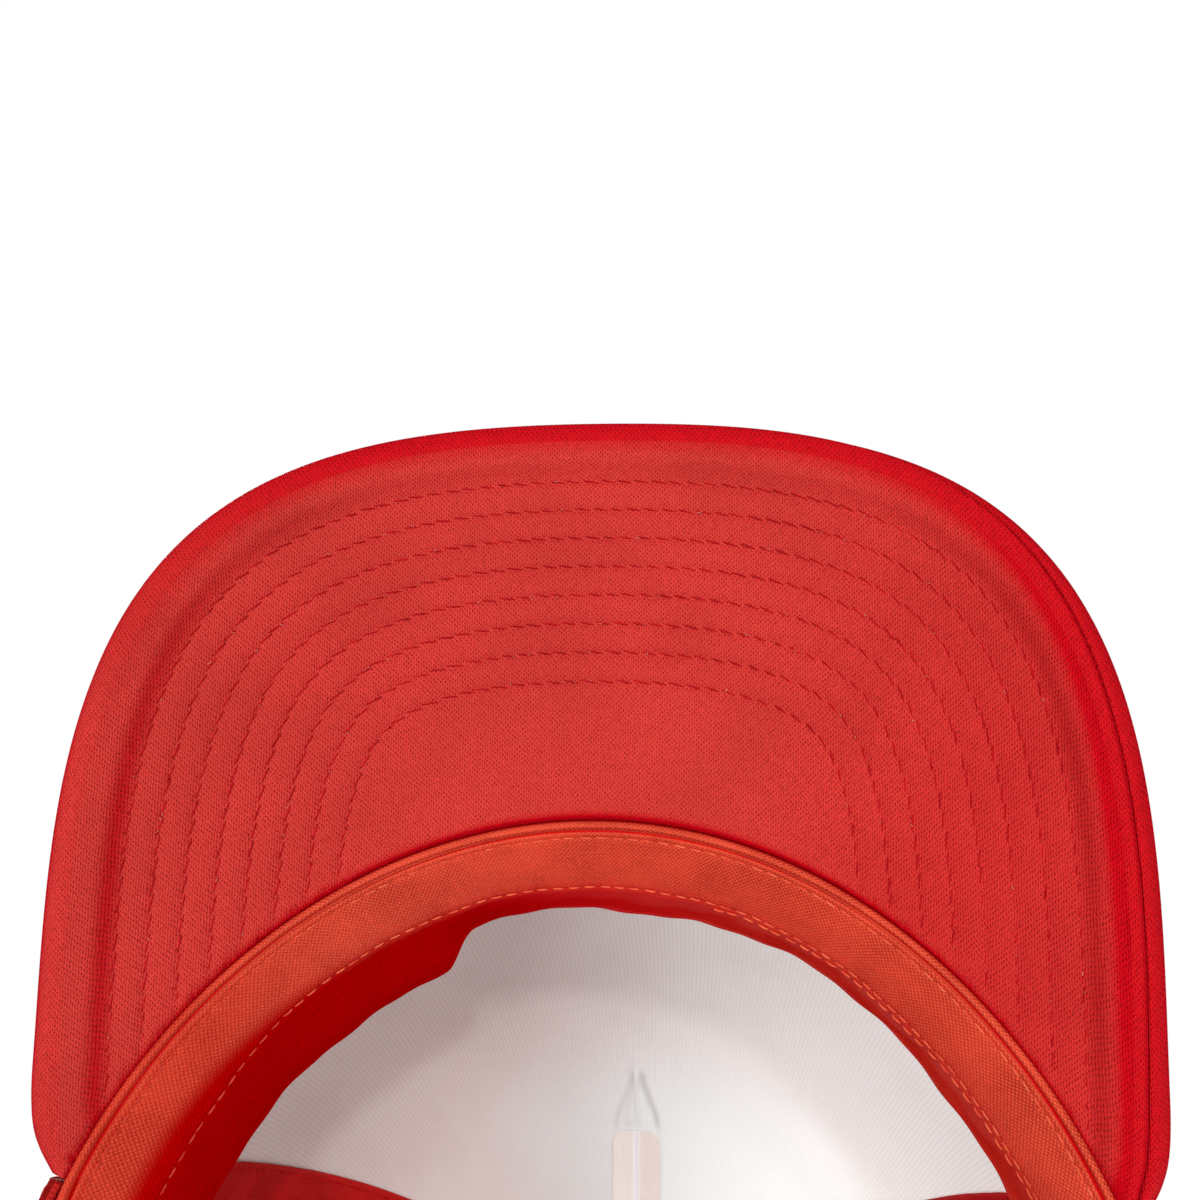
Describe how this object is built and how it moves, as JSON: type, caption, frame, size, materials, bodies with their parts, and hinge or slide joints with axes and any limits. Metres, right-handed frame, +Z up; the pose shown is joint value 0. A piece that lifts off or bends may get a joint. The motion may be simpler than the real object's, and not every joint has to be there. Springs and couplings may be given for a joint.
{
  "type": "trucker mesh cap",
  "caption": "Trucker cap with a foam front panel, red mesh side and rear panels, a quilted curved brim, a sweatband and a plastic snap strap that opens at the back.",
  "frame": {"origin": "on the floor under the middle of the cap's box; the brim's side edges touch the floor and the level rear hem is 8.8 mm above it", "axes": "+Z up through the crown; -Y out through the brim, the way the wearer faces; +X to the wearer's left"},
  "size_m": [0.1788, 0.2646, 0.1411],
  "materials": {
    "knit": "matte",
    "cotton": "matte",
    "sweatband": "matte",
    "mesh": "satin",
    "panel_fabric": "matte",
    "lining": "matte",
    "foam": "matte",
    "clear_tape": "satin",
    "board": "matte",
    "snap_plastic": "satin",
    "rivet_steel": "satin"
  },
  "bodies": {
    "cap": {"brim_board": "board", "brim_top_cover": "knit", "brim_under_cover": "knit", "brim_seam_cord": "cotton", "front_panel_fabric": "panel_fabric", "front_panel_foam": "foam", "front_panel_lining": "lining", "side_mesh_left": "mesh", "side_mesh_right": "mesh", "rear_mesh_left": "mesh", "rear_mesh_right": "mesh", "hem_band_left": "cotton", "hem_band_right": "cotton", "rear_arch_binding": "cotton", "seam_tape_front_left": "cotton", "seam_tape_front_right": "cotton", "seam_tape_side_left": "cotton", "seam_tape_side_right": "cotton", "seam_tape_rear": "cotton", "dart_tape": "clear_tape", "sweatband": "sweatband", "sweatband_interlining": "foam", "snap_tab_left": "snap_plastic", "snap_tab_right": "snap_plastic", "button_cover": "cotton", "button_rivet": "rivet_steel"},
    "hole_strap": {"snap_strap_left": "snap_plastic"},
    "peg_strap": {"snap_strap_right": "snap_plastic"}
  },
  "joints": [
    {"name": "hole_strap_bend", "type": "hinge", "parent": "cap", "child": "hole_strap", "pos_m": [0.04498, 0.11473, 0.02133], "axis": [0, 0, -1], "range_deg": [0, 75]},
    {"name": "peg_strap_bend", "type": "hinge", "parent": "cap", "child": "peg_strap", "pos_m": [-0.04498, 0.11473, 0.02133], "axis": [0, 0, -1], "range_deg": [0, 45]}
  ]
}
